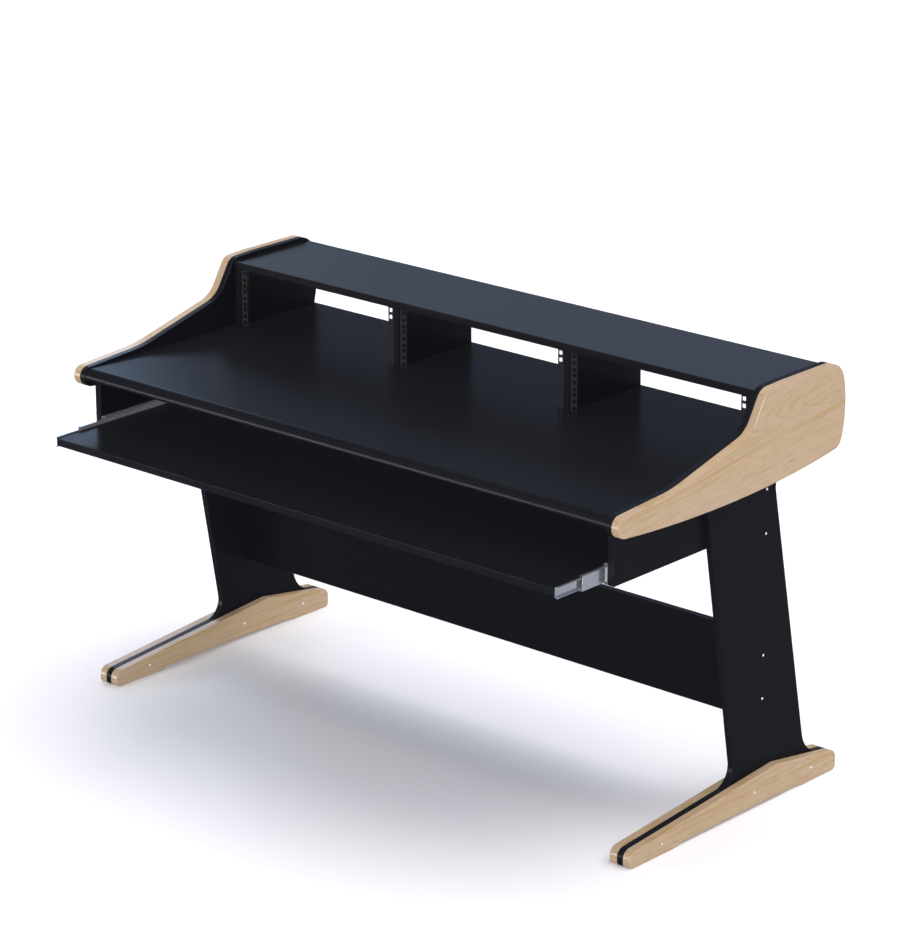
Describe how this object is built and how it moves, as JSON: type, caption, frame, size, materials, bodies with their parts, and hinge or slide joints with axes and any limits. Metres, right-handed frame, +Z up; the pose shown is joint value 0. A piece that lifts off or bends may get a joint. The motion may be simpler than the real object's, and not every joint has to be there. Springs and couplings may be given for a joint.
{
  "type": "studio desk",
  "caption": "Studio desk with leaning side frames on sled feet, S-shaped pale wood cheeks, a raised rack bridge and a keyboard tray on telescopic slides.",
  "frame": {"origin": "on the floor, under the middle of the bounding box of the desk with its tray drawn as in the picture", "axes": "+X to the sitter's right, +Y to the back of the desk, +Z up"},
  "size_m": [1.6042, 0.8862, 0.948],
  "materials": {
    "black_laminate": "satin black laminate on fibreboard",
    "pale_maple": "clear-lacquered pale maple",
    "zinc_steel": "bright zinc plate",
    "black_steel": "black powder coat",
    "bright_screw": "nickel plate"
  },
  "bodies": {
    "frame": {"desktop": "black_laminate", "top_shelf": "black_laminate", "lower_stretcher": "black_laminate", "upper_stretcher": "black_laminate", "left_side_panel": "black_laminate", "right_side_panel": "black_laminate", "left_drop_panel": "black_laminate", "right_drop_panel": "black_laminate", "left_rack_end": "black_laminate", "left_rack_divider": "black_laminate", "right_rack_divider": "black_laminate", "right_rack_end": "black_laminate", "left_wood_cheek": "pale_maple", "right_wood_cheek": "pale_maple", "left_outer_foot_board": "pale_maple", "left_inner_foot_board": "pale_maple", "right_outer_foot_board": "pale_maple", "right_inner_foot_board": "pale_maple", "rack_rail_1": "black_steel", "rack_rail_2": "black_steel", "rack_rail_3": "black_steel", "rack_rail_4": "black_steel", "rack_rail_5": "black_steel", "rack_rail_6": "black_steel", "left_slide_outer": "zinc_steel", "right_slide_outer": "zinc_steel", "left_leg_screw_1": "bright_screw", "left_leg_screw_2": "bright_screw", "left_leg_screw_3": "bright_screw", "left_leg_screw_4": "bright_screw", "right_leg_screw_1": "bright_screw", "right_leg_screw_2": "bright_screw", "right_leg_screw_3": "bright_screw", "right_leg_screw_4": "bright_screw", "left_foot_bolt_1": "bright_screw", "left_foot_bolt_2": "bright_screw", "left_foot_bolt_3": "bright_screw", "right_foot_bolt_1": "bright_screw", "right_foot_bolt_2": "bright_screw", "right_foot_bolt_3": "bright_screw"},
    "tray": {"keyboard_tray": "black_laminate", "left_slide_inner": "zinc_steel", "right_slide_inner": "zinc_steel"},
    "slide_middles": {"left_slide_middle": "zinc_steel", "right_slide_middle": "zinc_steel"},
    "outer_cages": {"left_outer_ball_cage": "zinc_steel", "right_outer_ball_cage": "zinc_steel"},
    "inner_cages": {"left_inner_ball_cage": "zinc_steel", "right_inner_ball_cage": "zinc_steel"}
  },
  "joints": [
    {"name": "tray_slide", "type": "slide", "parent": "frame", "child": "tray", "axis": [0, -1, 0], "range_m": [-0.15, 0.3]},
    {"name": "middle_slide", "type": "slide", "parent": "frame", "child": "slide_middles", "axis": [0, -1, 0], "range_m": [-0.075, 0.15]},
    {"name": "outer_cage_slide", "type": "slide", "parent": "frame", "child": "outer_cages", "axis": [0, -1, 0], "range_m": [-0.0375, 0.075]},
    {"name": "inner_cage_slide", "type": "slide", "parent": "frame", "child": "inner_cages", "axis": [0, -1, 0], "range_m": [-0.1125, 0.225]}
  ],
  "couplings": [
    {"joint": "middle_slide", "follows": "tray_slide", "ratio": 0.5},
    {"joint": "outer_cage_slide", "follows": "tray_slide", "ratio": 0.25},
    {"joint": "inner_cage_slide", "follows": "tray_slide", "ratio": 0.75}
  ]
}
